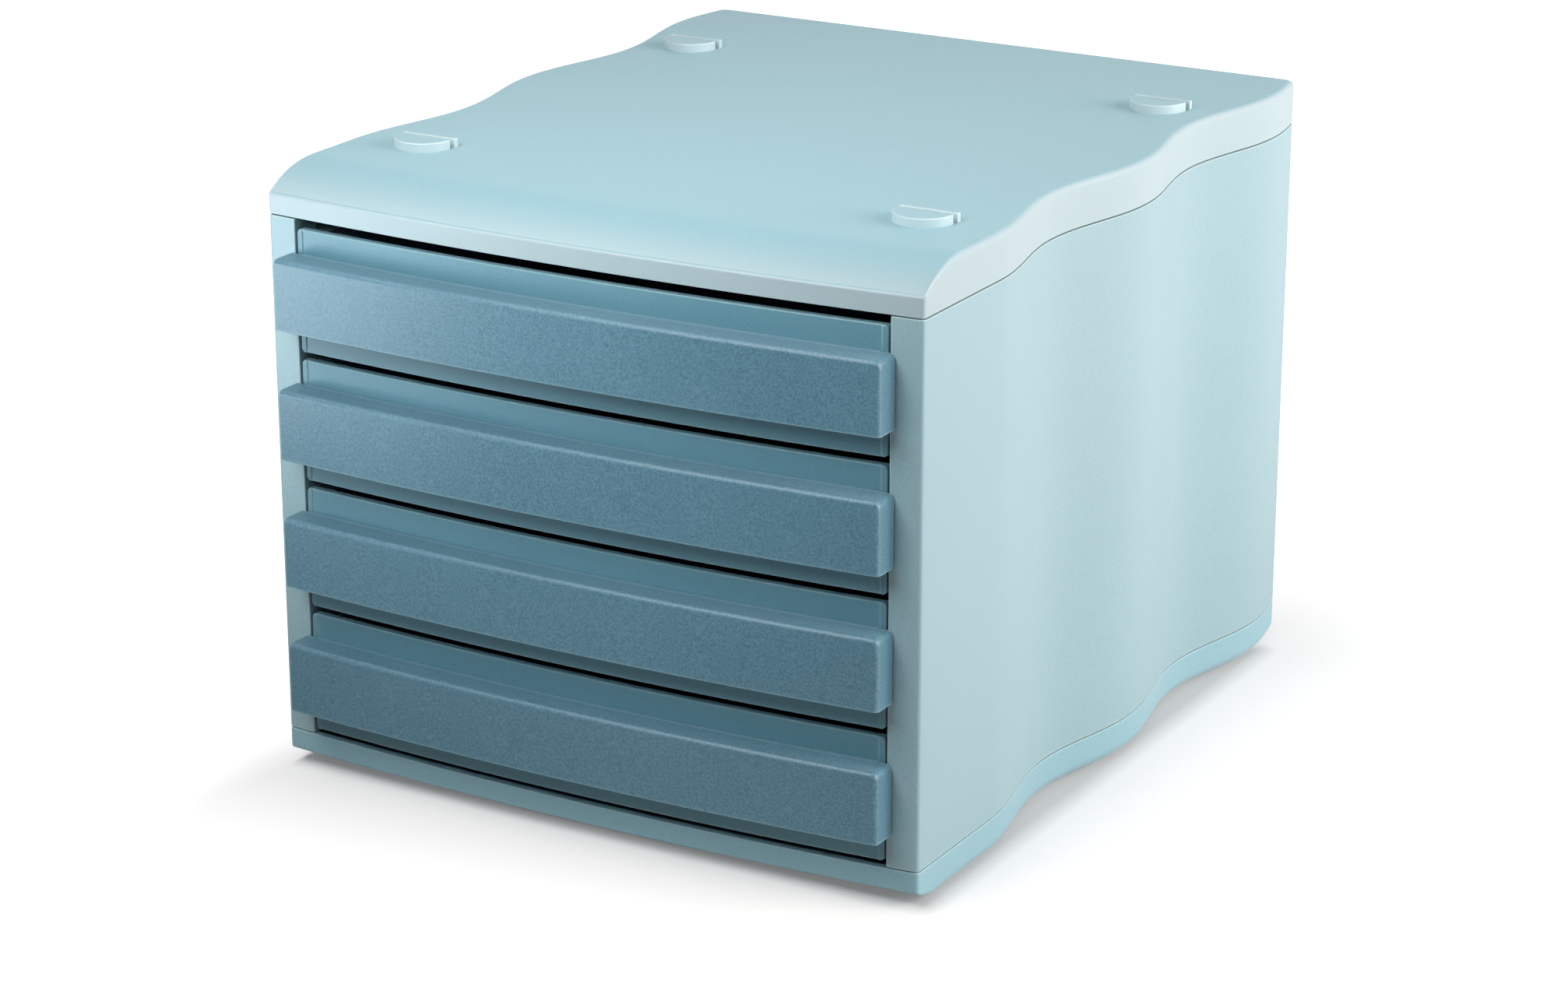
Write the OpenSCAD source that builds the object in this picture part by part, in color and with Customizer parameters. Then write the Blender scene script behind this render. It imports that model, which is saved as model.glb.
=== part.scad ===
// Desktop cabinet with four drawers and waved side walls.
// Sizes are in millimetres. X runs to the right, Y to the back and Z up.
// The origin is on the table, in the middle of the footprint.

/* [Case] */
// Width of the case at its front
case_w = 288; // [240:1:380]
// Depth of the case at its sides, without the handles
case_d = 336; // [280:1:420]
// How far the middle of the front stands out in front of its ends
front_bow = 6.3; // [0.5:0.1:12]
// Height of the side walls between base and cover
side_h = 214.5; // [180:0.5:300]
// Height of the top cover
cover_h = 18; // [16:0.5:26]
// Height of the upright lip at the front of the cover
cover_lip = 8.4; // [7:0.1:14]
// Depth over which the cover's front curves up to the flat top
cover_nose = 28; // [20:1:50]
// Height of the base
base_h = 14.5; // [14:0.5:24]
// Height of the upright lip at the front of the base
base_lip = 8.8; // [7:0.1:14]
// Depth over which the base's front curves down to the flat underside
base_nose = 20; // [15:1:40]
// Wall thickness of cover and base
shell_t = 3; // [2:0.1:4]
// Wall thickness of the side walls
side_t = 2.5; // [2:0.1:3.5]
// Thickness of the back panel
back_t = 2; // [1.5:0.1:3]
// Rounding of the upright edges at the front
front_r = 1.5; // [1:0.1:4]
// Rounding of the upright edges at the back
back_r = 2.5; // [1.5:0.1:6]

/* [Wave] */
// Straight stretch of the side before the wave begins
wave_start = 58; // [40:1:100]
// Length of one wave
wave_length = 124; // [90:1:200]
// How far a trough draws the side in
wave_depth = 9; // [4:0.1:14]

/* [Drawers] */
// Gap between the cover and the top drawer
top_gap = 3.5; // [2:0.1:8]
// Gap between two drawers
drawer_gap = 2.4; // [1.6:0.1:6]
// Gap between the bottom drawer and the base
bottom_gap = 2.4; // [1.6:0.1:8]
// Gap at each side of a drawer front
front_gap = 1.1; // [0.8:0.1:2.5]
// How far a drawer front lies behind the face of the case
front_recess = 1; // [0.5:0.1:3]
// Thickness of a drawer front
front_t = 2.5; // [2:0.1:4]
// Wall thickness of a drawer tray
tray_t = 2; // [1.5:0.1:3]
// How far a drawer slides out before its stops catch
travel = 240; // [150:1:260]

/* [Handles] */
// How far a handle stands in front of the case
handle_reach = 12; // [10:0.5:25]
// Height of a handle
handle_h = 28.7; // [20:0.1:34]
// Height of a handle above the lower edge of its drawer front
handle_low = 11.3; // [5:0.1:13]
// How far each handle end laps over the face of the case
handle_lap = 2.2; // [1:0.1:4]
// Wall thickness of a handle
handle_t = 2.4; // [1.8:0.1:3.5]
// Rounding of the handle's top edge and top corners
handle_r = 2.8; // [2:0.1:5]
// Rounding of the upright edges at the ends of a handle
handle_end_r = 1.7; // [1:0.1:3]

/* [Stacking lugs and feet] */
// Radius of the round front of a stacking lug
lug_r = 12.5; // [8:0.1:16]
// Height of a stacking lug above the cover
lug_h = 3.6; // [2:0.1:5]
// Width of the slot across a lug
lug_slot = 1.6; // [1:0.1:3]
// Thickness of the bar behind the slot
lug_bar = 2.4; // [1.5:0.1:4]
// Distance of the lugs from the side of the case
lug_inset = 32.4; // [28:0.1:60]
// Distance of the front lugs from the front of the case
lug_front = 60; // [50:1:100]
// Distance of the rear lugs from the back of the case
lug_rear = 74; // [50:1:110]
// Radius of a rubber foot
foot_r = 6; // [4:0.5:10]
// How far a rubber foot stands out of the base
foot_out = 1; // [0.5:0.1:3]

/* [Hidden] */

$fn = 48;
drawer_count = 4;

// Colours: pale grey-blue mouldings, darker handles, black rubber.
case_colour = [0.71, 0.80, 0.83];
front_colour = [0.55, 0.69, 0.74];
handle_colour = [0.36, 0.47, 0.54];
foot_colour = [0.08, 0.08, 0.09];

// Small clearances that the pieces share.
seam = 0.35;        // open line between side walls and cover or base
fit = 0.2;          // pieces of the case that plug together
slide_gap = 0.3;    // drawer on its runners and against its stops
guide_gap = 0.7;    // drawer flange beside the jamb
snap_gap = 0.25;    // handle prongs in their slots

// Overlaps that don't show.
sink = 0.5;         // how far forms that are one moulding run into each other
over = 1;           // how far a cut runs past the face that it opens

// The face of the case is an arc in plan. Its centre lies behind the case.
arc_half = case_w / 2 - front_r;
arc_r = (arc_half * arc_half + front_bow * front_bow) / (2 * front_bow);
arc_y = arc_r - front_bow;
arc_fn = 1440;
arc_columns = 16;   // flat strips across the face of cover and base

// Joint between side walls and the two shells.
tongue_t = 2;
tongue_h = 6;
tongue_in = shell_t + fit;
groove_t = 2;       // rib in front of the back panel
rim_h = 8;
ledge_w = 5;
ledge_t = 2;
rib_t = 1.6;
rib_h = 4;
rib_pitch = 48;
rim_y = 6;          // rims and tongues stop this far from front and back
tongue_y = 8;
seam_edge = 0.4;

// Snap catches: bumps on the tongues in pockets of cover and base.
catch_l = 14;
catch_h = 2;
catch_out = 0.6;
catch_low = 2.5;    // from the parting line to the near side of a catch
catch_y = [for (i = [1 : 3]) i * case_d / 4];

// Rounded edges of cover and base.
cover_edge_r = 2.5;
base_edge_r = 5;
lip_edge_r = 1.2;

// Front frame of the side walls.
stop_step = 1.5;    // how far the stop ears reach behind the jamb
jamb_t = 2.5;
jamb_d = 14;
open_half = case_w / 2 - wave_depth - side_t - stop_step;

// Levels.
base_z = foot_out;
low_z = base_z + base_h;
high_z = low_z + side_h;
drawer_h = (side_h - top_gap - bottom_gap - (drawer_count - 1) * drawer_gap) / drawer_count;
drawer_pitch = drawer_h + drawer_gap;
front_y = -(case_d - handle_reach - front_bow) / 2;

// Drawer tray and its runners.
flange_t = 2;
flange_drop = 7;    // top of the flange below the top of the drawer front
flange_half = open_half - guide_gap;
runner_t = 2.2;
runner_lap = 5.3;   // how far a flange lies on its runner
runner_half = flange_half - runner_lap;
behind = front_recess + front_t;
runner_front = behind + 1.5;
hold_down_l = 64;
tray_half = runner_half - 1;
tray_low = 2.5;     // tray floor above the lower edge of the front
tray_r = 8;
back_y = case_d - shell_t - back_t;
tray_back = back_y - 1;
ear_half = open_half + stop_step - slide_gap;
ear_l = 5;
ear_ramp = 9;
ear_y = jamb_d + slide_gap + travel;
field_in = 1.9;     // width of the rim at each end of a drawer front
field_d = 0.6;      // depth of the field between those rims
front_corner_r = 1.8;
seat_y = front_recess + field_d;
panel_half = open_half - front_gap;
flange_low = drawer_h - flange_drop - flange_t;

// Handles and their snap prongs.
handle_half = open_half + handle_lap;
handle_gap = 0.6;   // handle ends in front of the face of the case
prong_w = 10;
prong_t = 1.8;
prong_end = behind + 2.2;
barb_h = 0.9;
prong_pitch = 49;
prong_x = [for (i = [-2 : 2]) i * prong_pitch];
peg_r = 1.5;
bracket_w = 4.4;
bracket_t = 3;
peg_x = panel_half - field_in - bracket_w / 2 - 0.3;
peg_z = 4;

// Places of lugs and feet.
lug_x = case_w / 2 - lug_inset;
lug_y = [lug_front, case_d - lug_rear];
bar_over = 0.5;     // bar of a lug past the half disc
well_gap = 1.8;     // lug in the well of the cabinet above
well_wall = 2.2;
well_r = lug_r + well_gap;
well_d = lug_h + 0.8;
key_t = rib_t * 0.7;
foot_x = lug_x + 10;
foot_y = [lug_front - 28, case_d - 30];
foot_seat = 1.2;

// ---- Outline of the case in plan ----

// Depths at which the outline has a point, from front to back.
nose_steps = 14;
nose_end = max(cover_nose, base_nose);
wave_steps = 72;
stations = concat(
  [for (a = [0 : 30 : 60]) front_r * (1 - cos(a))],
  [for (i = [0 : nose_steps]) front_r + i * (nose_end - front_r) / nose_steps],
  [for (i = [1 : 4]) nose_end + i * (wave_start - nose_end) / 4],
  [for (i = [1 : wave_steps]) wave_start + i * (case_d - back_r - wave_start) / wave_steps],
  [for (a = [60 : -30 : 0]) case_d - back_r * (1 - cos(a))]
);
last = len(stations) - 1;
nose_last = 3 + nose_steps;   // station at which every nose has ended
end_zone = 20;

// How far the side is drawn in at depth y, and how steeply.
function wave(y) =
  y < wave_start ? 0 : wave_depth / 2 * (1 - cos(360 * (y - wave_start) / wave_length));
function wave_slope(y) =
  y < wave_start ? 0 : wave_depth * PI / wave_length * sin(360 * (y - wave_start) / wave_length);

// How far an upright corner is rounded off at a distance t from its end.
function round_off(t, r) = t >= r ? 0 : r - sqrt(max(0, r * r - (r - t) * (r - t)));
function corner(y) = round_off(y, front_r) + round_off(case_d - y, back_r);

// Depth of a station on a line that runs inside the outline.
function inner_y(y, inset) =
  y < wave_start ? y + inset * (1 - y / wave_start)
  : y > case_d - end_zone ? y - inset * (1 - (case_d - y) / end_zone)
  : y;

// A point of the right-hand side, a distance inset inside the outline.
function edge(y, inset) =
  let (s = inner_y(y, inset))
  [case_w / 2 - wave(s) - corner(y) - inset * sqrt(1 + pow(wave_slope(s), 2)), s];

function reversed(list) = [for (i = [len(list) - 1 : -1 : 0]) list[i]];
function mirrored(list) = [for (p = reversed(list)) [-p[0], p[1]]];
function right_edge(inset, y0 = 0, y1 = case_d) =
  [for (y = stations) if (y >= y0 && y <= y1) edge(y, inset)];
function right_run(inset, y0, y1) =
  let (steps = 4)
  [for (i = [0 : steps]) edge(y0 + i * (y1 - y0) / steps, inset)];

// Inner points of a line across the case that bows forward, from left to right.
function bowed(p) = [
  for (j = [1 : arc_columns - 1])
    let (u = 2 * j / arc_columns - 1)
    [u * p[0], p[1] - front_bow * (1 - u * u)]
];
function outline(inset) =
  concat(right_edge(inset), mirrored(right_edge(inset)), bowed(edge(0, inset)));

// Everything that lies more than a given depth behind the face of the case.
module behind_face(depth) {
  translate([0, arc_y]) circle(arc_r - depth, $fn = arc_fn);
}

// Strip of plan between two depths behind the face, from x0 to x1.
module face_band(depth0, depth1, x0, x1) {
  intersection() {
    translate([x0, depth0 - front_bow - over])
      square([x1 - x0, depth1 - depth0 + front_bow + 2 * over]);
    difference() {
      behind_face(depth0);
      behind_face(depth1);
    }
  }
}

// Turns what is drawn at the middle of the face to the place at x, square to the face.
module on_face(x) {
  translate([0, arc_y, 0]) rotate([0, 0, asin(x / arc_r)])
    translate([0, -arc_r, 0]) children();
}

// ---- Lofted form of cover and base ----

// Drop of a curved front at depth y: an arc that ends level with the flat.
function nose_drop(y, nose, drop) =
  let (r = (nose * nose + drop * drop) / (2 * drop))
  y >= nose ? 0 : r - sqrt(r * r - (nose - y) * (nose - y));

// Rings give [inset, height] at each station.
function level_ring(inset, z) = [for (y = stations) [inset, z]];
function round_ring(h, lip, nose, edge_r, a) = [
  for (y = stations)
    let (r = lip_edge_r + (edge_r - lip_edge_r) * min(1, y / nose))
    [r * (1 - cos(a)), h - nose_drop(y, nose, h - lip) - r * (1 - sin(a))]
];
function offset_ring(h, lip, nose, inset) = [
  for (y = stations) [inset, h - nose_drop(y, nose, h - lip) - inset]
];

// Points of a ring: back along the right side, forward along the left, then along the front.
function ring_points(ring) =
  let (right = [for (i = [0 : last]) let (p = edge(stations[i], ring[i][0])) [p[0], p[1], ring[i][1]]])
  concat(right, [for (p = reversed(right)) [-p[0], p[1], p[2]]],
    [for (p = bowed(right[0])) [p[0], p[1], right[0][2]]]);

// A closed solid through the rings, from the lowest to the highest. Its upper cap has
// bowed rows of points as far as the nose reaches, so that the nose follows the face.
module loft(rings) {
  n = last + 1;
  size = 2 * n + arc_columns - 1;
  top = (len(rings) - 1) * size;
  rows_at = len(rings) * size;
  crown = ring_points(rings[len(rings) - 1]);
  points = concat(
    [for (ring = rings) each ring_points(ring)],
    [for (i = [1 : nose_last]) each [for (p = bowed(crown[i])) [p[0], p[1], crown[i][2]]]]
  );
  function row(i) = concat(
    [top + 2 * n - 1 - i],
    [for (j = [0 : arc_columns - 2])
      i == 0 ? top + 2 * n + j : rows_at + (i - 1) * (arc_columns - 1) + j],
    [top + i]
  );
  lower_cap = concat(
    [for (i = [0 : last - 1]) [i, i + 1, 2 * n - 2 - i, 2 * n - 1 - i]],
    [concat([0], [for (j = [2 * n - 1 : size - 1]) j])]
  );
  nose = [
    for (i = [0 : nose_last - 1])
      let (front = row(i), back = row(i + 1))
      for (j = [0 : arc_columns - 1])
        each [[front[j], back[j], back[j + 1]], [front[j], back[j + 1], front[j + 1]]]
  ];
  flat = concat(
    [concat([top + 2 * n - 2 - nose_last, top + nose_last + 1], reversed(row(nose_last)))],
    [for (i = [nose_last + 1 : last - 1])
      [top + 2 * n - 1 - i, top + 2 * n - 2 - i, top + i + 1, top + i]]
  );
  walls = [
    for (k = [0 : len(rings) - 2], j = [0 : size - 1])
      let (a = k * size + j, b = k * size + (j + 1) % size)
      each [[a + size, b + size, a], [b + size, b, a]]
  ];
  polyhedron(points, concat(lower_cap, nose, flat, walls), convexity = 6);
}

module rounded_form(h, lip, nose, edge_r) {
  loft(concat(
    [level_ring(seam_edge, 0), level_ring(0, seam_edge)],
    [for (a = [0 : 30 : 90]) round_ring(h, lip, nose, edge_r, a)]
  ));
}

// Stiffening ribs as crossing upright plates.
module rib_grid(z0, z1) {
  across = floor(case_d / 2 / rib_pitch);
  along = floor(case_w / 2 / rib_pitch);
  for (i = [-across : across])
    translate([-case_w, case_d / 2 + i * rib_pitch - rib_t / 2, z0])
      cube([2 * case_w, rib_t, z1 - z0]);
  for (i = [-along : along])
    translate([i * rib_pitch - rib_t / 2, -front_bow, z0])
      cube([rib_t, case_d + front_bow, z1 - z0]);
}

// Hollow shell with its open side down: outer form, ribs and a ledge for the side walls.
module case_shell(h, lip, nose, edge_r) {
  difference() {
    rounded_form(h, lip, nose, edge_r);
    difference() {
      loft([level_ring(shell_t, -over), offset_ring(h, lip, nose, shell_t)]);
      rib_grid(h - shell_t - rib_h, h);
      translate([0, 0, tongue_h])
        linear_extrude(ledge_t)
          difference() {
            polygon(outline(shell_t - over));
            polygon(outline(shell_t + ledge_w));
          }
    }
    for (side = [0, 1])
      mirror([side, 0, 0])
        catches(catch_low - fit, catch_h + 2 * fit, tongue_in - catch_out - fit, shell_t + over, fit);
  }
}

// Catches along the right-hand side, between two insets.
module catches(z, h, inset0, inset1, spare) {
  for (y = catch_y)
    translate([0, 0, z]) linear_extrude(h)
      polygon(concat(
        right_run(inset0, y - catch_l / 2 - spare, y + catch_l / 2 + spare),
        reversed(right_run(inset1, y - catch_l / 2 - spare, y + catch_l / 2 + spare))
      ));
}

module at_lugs() {
  for (x = [-lug_x, lug_x], y = lug_y)
    translate([x, y, 0]) children();
}

// Stacking lug: a half disc, a slot and a bar behind it.
module lug() {
  linear_extrude(lug_h + sink)
    intersection() {
      circle(lug_r, $fn = 64);
      translate([-lug_r, -lug_r]) square([2 * lug_r, lug_r]);
    }
  translate([-lug_r - bar_over, lug_slot, 0])
    cube([2 * (lug_r + bar_over), lug_bar, lug_h + sink]);
}

module in_case() {
  translate([0, front_y, 0]) children();
}

module top_cover() {
  color(case_colour)
    in_case() translate([0, 0, high_z]) {
      case_shell(cover_h, cover_lip, cover_nose, cover_edge_r);
      translate([0, 0, cover_h - sink]) at_lugs() lug();
    }
}

// Well in the underside that takes a lug of the cabinet below.
module well_boss() {
  cylinder(r = well_r + well_wall, h = well_d + well_wall);
}

// The key across a well stands in the slot of the lug below.
module well_cut() {
  difference() {
    translate([0, 0, -over]) cylinder(r = well_r, h = well_d + over);
    translate([-lug_r, (lug_slot - key_t) / 2, 0.6])
      cube([2 * lug_r, key_t, well_d]);
  }
}

module base() {
  color(case_colour)
    in_case() difference() {
      union() {
        translate([0, 0, low_z]) mirror([0, 0, 1])
          case_shell(base_h, base_lip, base_nose, base_edge_r);
        translate([0, 0, base_z]) at_lugs() well_boss();
      }
      translate([0, 0, base_z]) at_lugs() well_cut();
      translate([0, 0, base_z]) at_feet() translate([0, 0, -over])
        cylinder(r = foot_r + fit, h = foot_seat + over);
    }
}

module at_feet() {
  for (x = [-foot_x, foot_x], y = foot_y)
    translate([x, y, 0]) children();
}

module foot(side, row) {
  color(foot_colour)
    in_case() translate([side * foot_x, foot_y[row], 0])
      cylinder(r = foot_r, h = foot_out + foot_seat);
}

// ---- Side walls ----

// Strip of the right-hand side between two lines inside the outline.
module strip(inset0, inset1, y0 = 0, y1 = case_d) {
  polygon(concat(right_edge(inset0, y0, y1), reversed(right_edge(inset1, y0, y1))));
}

// Shelf from a straight inner edge out to the waved wall.
module shelf(y0, y1, t) {
  linear_extrude(t) {
    wall_line = right_edge(side_t / 2, y0, y1);
    polygon(concat([[runner_half, y0]], [[wall_line[0][0], y0]], wall_line,
      [[wall_line[len(wall_line) - 1][0], y1], [runner_half, y1]]));
  }
}

module side_plan() {
  strip(0, side_t);
  face_band(0, side_t, open_half, arc_half);
  translate([open_half, 0]) square([jamb_t, jamb_d]);
  rear_x = edge(case_d, 0)[0];
  translate([open_half, case_d - shell_t]) square([rear_x - open_half, shell_t]);
  groove_y = back_y - fit - groove_t;
  groove_x = ear_half + slide_gap;
  translate([groove_x, groove_y]) square([edge(groove_y, side_t / 2)[0] - groove_x, groove_t]);
}

module side_wall() {
  height = side_h - 2 * seam;
  translate([0, 0, seam]) linear_extrude(height) side_plan();
  for (z = [seam, side_h - seam - rim_h])
    translate([0, 0, z]) linear_extrude(rim_h)
      strip(0, tongue_in + tongue_t, rim_y, case_d - rim_y);
  for (z = [-tongue_h, side_h - seam - rim_h])
    translate([0, 0, z]) linear_extrude(tongue_h + seam + rim_h)
      strip(tongue_in, tongue_in + tongue_t, tongue_y, case_d - tongue_y);
  for (z = [-catch_low - catch_h, side_h + catch_low])
    catches(z, catch_h, tongue_in - catch_out, tongue_in + sink, 0);
  for (i = [1 : drawer_count]) {
    z = drawer_z(i) - low_z + flange_low;
    translate([0, 0, z - slide_gap - runner_t]) shelf(runner_front, back_y - ledge_w, runner_t);
    translate([0, 0, z + flange_t + 2 * slide_gap]) shelf(runner_front, hold_down_l, runner_t);
  }
}

module side_left() {
  color(case_colour) in_case() translate([0, 0, low_z]) mirror([1, 0, 0]) side_wall();
}

module side_right() {
  color(case_colour) in_case() translate([0, 0, low_z]) side_wall();
}

module back_panel() {
  half = edge(case_d, shell_t)[0] - fit;
  height = side_h + 2 * tongue_h;
  color(case_colour)
    in_case() translate([0, back_y, low_z - tongue_h]) {
      translate([-half, 0, 0]) cube([2 * half, back_t, height]);
    }
}

// ---- Drawers ----

// Height of the lower edge of drawer i, counted from the top.
function drawer_z(i) = low_z + bottom_gap + (drawer_count - i) * drawer_pitch;

module rounded_square(x0, y0, x1, y1, r) {
  translate([x0 + r, y0]) square([x1 - x0 - 2 * r, y1 - y0]);
  translate([x0, y0 + r]) square([x1 - x0, y1 - y0 - 2 * r]);
  for (x = [x0 + r, x1 - r], y = [y0 + r, y1 - r])
    translate([x, y]) circle(r);
}

// Plate that stands upright: its outline is drawn in X and Z.
module upright(y, t) {
  translate([0, y + t, 0]) rotate([90, 0, 0]) linear_extrude(t) children();
}

module front_plate() {
  reach = panel_half + over;
  intersection() {
    upright(-front_bow, front_bow + behind)
      rounded_square(-panel_half, 0, panel_half, drawer_h, front_corner_r);
    translate([0, 0, -over]) linear_extrude(drawer_h + 2 * over)
      face_band(front_recess, behind, -reach, reach);
  }
}

// Field between the end rims, slots for the prongs and holes for the pegs of the handle.
module front_cuts() {
  field_half = panel_half - field_in;
  translate([0, 0, -over]) linear_extrude(drawer_h + 2 * over)
    face_band(front_recess - over, seat_y, -field_half, field_half);
  for (x = prong_x)
    on_face(x) translate([-prong_w / 2 - snap_gap, 0, handle_low + handle_h - prong_t - snap_gap])
      cube([prong_w + 2 * snap_gap, behind + over, prong_t + 2 * snap_gap]);
  for (x = [-peg_x, peg_x])
    on_face(x) translate([0, 0, handle_low + peg_z])
      rotate([-90, 0, 0]) cylinder(r = peg_r + snap_gap, h = behind);
}

module tray_plan(inset, depth) {
  half = tray_half - inset;
  r = tray_r - inset;
  intersection() {
    union() {
      rounded_square(-half, tray_back - inset - 3 * r, half, tray_back - inset, r);
      translate([-half, -front_bow]) square([2 * half, tray_back - inset - 2 * r + front_bow]);
    }
    behind_face(depth);
  }
}

module tray() {
  height = flange_low + flange_t - tray_low;
  difference() {
    translate([0, 0, tray_low]) linear_extrude(height) tray_plan(0, behind - sink);
    translate([0, 0, tray_low + tray_t]) linear_extrude(height) tray_plan(tray_t, front_recess);
  }
}

// Flanges that hang on the runners, with a stop ear on each.
module flange_plan() {
  inner = tray_half - tray_t / 2;
  intersection() {
    for (side = [0, 1])
      mirror([side, 0]) {
        translate([inner, -front_bow])
          square([flange_half - inner, tray_back - tray_r + front_bow]);
        polygon([
          [flange_half - sink, ear_y], [ear_half, ear_y],
          [ear_half, ear_y + ear_l], [flange_half - sink, ear_y + ear_l + ear_ramp]
        ]);
      }
    behind_face(behind - sink);
  }
}

module drawer(i) {
  color(front_colour)
    in_case() translate([0, 0, drawer_z(i)])
      difference() {
        union() {
          front_plate();
          tray();
          translate([0, 0, flange_low]) linear_extrude(flange_t) flange_plan();
        }
        front_cuts();
      }
}

// ---- Handles ----

// Side view of a handle as a section through the turned bar: only its top edge is rounded.
module handle_section() {
  back = arc_r + handle_gap;
  front = arc_r + handle_reach;
  translate([back, 0]) square([front - handle_r - back, handle_h]);
  translate([back, 0]) square([front - back, handle_h - handle_r]);
  translate([front - handle_r, handle_h - handle_r]) circle(handle_r);
}

// Front view of a handle: only its top corners are rounded.
module handle_outline() {
  translate([-handle_half, 0]) square([2 * handle_half, handle_h - handle_r]);
  translate([-handle_half + handle_r, 0]) square([2 * (handle_half - handle_r), handle_h]);
  for (x = [-handle_half + handle_r, handle_half - handle_r])
    translate([x, handle_h - handle_r]) circle(handle_r);
}

// What the rounding takes off the upright edge at a handle's right end.
module end_rounding() {
  r = handle_end_r;
  x = handle_half - r;
  from_centre = arc_r + handle_reach - r;
  y = arc_y - sqrt(from_centre * from_centre - x * x);
  out = [x / from_centre, (y - arc_y) / from_centre];
  translate([x, y, -over]) linear_extrude(handle_h + 2 * over)
    difference() {
      polygon([[0, 0], 2 * r * out, 2 * r * (out + [1, 0]), [2 * r, 0]]);
      circle(r);
    }
}

// Bowed bar: the section turned round the centre of the face, cut to the front view.
module handle_form() {
  turn = 2 * asin((handle_half + over) / arc_r);
  difference() {
    intersection() {
      translate([0, arc_y, 0]) rotate([0, 0, -90 - turn / 2])
        rotate_extrude(angle = turn, $fn = arc_fn) handle_section();
      upright(-front_bow - handle_reach - over, front_bow + handle_reach + over)
        handle_outline();
    }
    for (side = [0, 1])
      mirror([side, 0, 0]) end_rounding();
  }
}

// Snap prong that passes through the drawer front and hooks behind it.
module prong() {
  root = seat_y - sink;
  hook = behind + 0.15;
  translate([-prong_w / 2, 0, 0]) rotate([90, 0, 90]) linear_extrude(prong_w)
    polygon([
      [root, 0], [prong_end, 0], [prong_end, prong_t],
      [hook, prong_t + barb_h], [hook, prong_t], [root, prong_t]
    ]);
}

// Bracket inside the right end of a handle, with a peg that sits in the drawer front.
module end_bracket() {
  arm = -handle_gap - bracket_t;
  arm_l = handle_half - handle_t + sink - peg_x;
  on_face(peg_x) {
    translate([-bracket_w / 2, arm, peg_z - bracket_w / 2])
      cube([bracket_w / 2 + arm_l, bracket_t, bracket_w]);
    translate([-bracket_w / 2, arm, peg_z - bracket_w / 2])
      cube([bracket_w, seat_y - arm, bracket_w]);
    translate([0, seat_y - sink, peg_z]) rotate([-90, 0, 0])
      cylinder(r = peg_r, h = behind - seat_y + sink);
  }
}

module handle(i) {
  inner = handle_half - handle_t;
  bridge = panel_half - field_in - over;
  color(handle_colour)
    in_case() translate([0, 0, drawer_z(i) + handle_low]) {
      difference() {
        handle_form();
        translate([0, 0, -over]) linear_extrude(handle_h - handle_t + over)
          face_band(handle_t - handle_reach, over, -inner, inner);
      }
      translate([0, 0, handle_h - handle_t]) linear_extrude(handle_t)
        face_band(-handle_gap - sink, seat_y, -bridge, bridge);
      for (x = prong_x)
        on_face(x) translate([0, 0, handle_h - prong_t]) prong();
      for (side = [0, 1])
        mirror([side, 0, 0]) end_bracket();
    }
}

top_cover();
base();
side_left();
side_right();
back_panel();
drawer(1);  // drawer_1
drawer(2);  // drawer_2
drawer(3);  // drawer_3
drawer(4);  // drawer_4
handle(1);  // handle_1
handle(2);  // handle_2
handle(3);  // handle_3
handle(4);  // handle_4
foot(-1, 0);  // foot_front_left
foot(1, 0);  // foot_front_right
foot(-1, 1);  // foot_rear_left
foot(1, 1);  // foot_rear_right
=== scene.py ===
# %% [markdown]
# # A desktop cabinet with four drawers
# The real cabinet stands on a desk and keeps paper and C4 envelopes lying flat. It is all
# injection-moulded plastic: a base, two side walls, a back panel and a top cover make the
# case, and four drawers, each with a handle bar, slide in it. The sides run back in waves,
# and the whole front bows forward a little. The CAD frame already fixes every size, place
# and joint. What is left for Blender is the look: even curves, softened edges, and plastics
# that catch the light as the real ones do.

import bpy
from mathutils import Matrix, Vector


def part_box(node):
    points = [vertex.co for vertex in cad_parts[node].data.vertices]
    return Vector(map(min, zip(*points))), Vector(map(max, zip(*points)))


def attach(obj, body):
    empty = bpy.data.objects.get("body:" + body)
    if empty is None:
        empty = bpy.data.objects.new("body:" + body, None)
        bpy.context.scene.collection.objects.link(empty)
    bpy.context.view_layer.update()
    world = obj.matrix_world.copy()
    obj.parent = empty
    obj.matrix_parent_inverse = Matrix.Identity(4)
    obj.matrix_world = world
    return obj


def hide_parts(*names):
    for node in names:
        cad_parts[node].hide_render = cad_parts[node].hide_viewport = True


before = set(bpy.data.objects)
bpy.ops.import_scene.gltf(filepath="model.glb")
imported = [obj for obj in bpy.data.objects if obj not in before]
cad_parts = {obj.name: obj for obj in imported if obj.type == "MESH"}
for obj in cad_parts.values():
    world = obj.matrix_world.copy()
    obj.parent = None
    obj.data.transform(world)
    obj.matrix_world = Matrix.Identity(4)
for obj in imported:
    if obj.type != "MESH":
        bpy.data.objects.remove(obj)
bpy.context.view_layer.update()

# %% [markdown]
# Blender works in metres, and a moulder writes sizes in millimetres, so the sizes below are
# in millimetres and become metres in one place each. Depths count from the front corners
# of the case, as in the CAD source, and FRONT moves them into the frame.

# %% Sizes that several pieces share
import ast
import math

import bmesh
import bpy
from mathutils import Vector

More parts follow.
